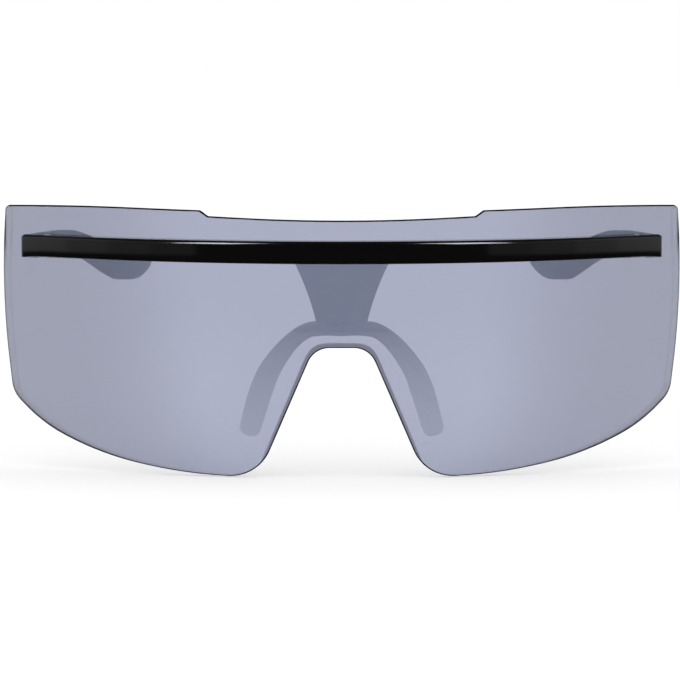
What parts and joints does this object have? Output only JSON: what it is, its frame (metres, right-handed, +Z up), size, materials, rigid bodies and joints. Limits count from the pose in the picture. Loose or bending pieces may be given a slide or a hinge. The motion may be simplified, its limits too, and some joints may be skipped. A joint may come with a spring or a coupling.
{
  "type": "shield sunglasses",
  "caption": "Sunglasses with a wrapped one-piece mirror shield lens behind a slim glossy brow bar, a soft nose saddle and folding temples with bent tips.",
  "frame": {"origin": "on the middle of the nose saddle's underside, where it rests on the bridge of the nose", "axes": "+Z up, +Y back along the open temples, the lens faces -Y, +X towards the wearer's left"},
  "size_m": [0.144, 0.1658, 0.0554],
  "materials": {
    "lens": "grey tint with a silver-blue flash mirror",
    "bar": "polished black",
    "frame": "satin black",
    "pad": "smoke-grey soft matt",
    "tip": "soft matt black",
    "bushing": "black",
    "core": "plain wire strip",
    "metal": "fine satin"
  },
  "bodies": {
    "front": {"shield_lens": "lens", "brow_bar": "bar", "rear_frame": "frame", "nose_pad": "pad", "brow_bar_screws": "metal", "lens_bushings": "bushing", "left_front_hinge_leaf": "metal", "left_front_leaf_screws": "metal", "left_hinge_screw": "metal", "right_front_hinge_leaf": "metal", "right_front_leaf_screws": "metal", "right_hinge_screw": "metal"},
    "left_side": {"left_temple": "frame", "left_temple_tip": "tip", "left_temple_core": "core", "left_temple_hinge_leaf": "metal", "left_temple_leaf_screws": "metal"},
    "right_side": {"right_temple": "frame", "right_temple_tip": "tip", "right_temple_core": "core", "right_temple_hinge_leaf": "metal", "right_temple_leaf_screws": "metal"}
  },
  "joints": [
    {"name": "left_temple_fold", "type": "hinge", "parent": "front", "child": "left_side", "pos_m": [0.0623, 0.03195, 0.01745], "axis": [0, 0, 1], "range_deg": [0, 86]},
    {"name": "right_temple_fold", "type": "hinge", "parent": "front", "child": "right_side", "pos_m": [-0.0623, 0.03195, 0.01745], "axis": [0, 0, -1], "range_deg": [0, 74]}
  ]
}
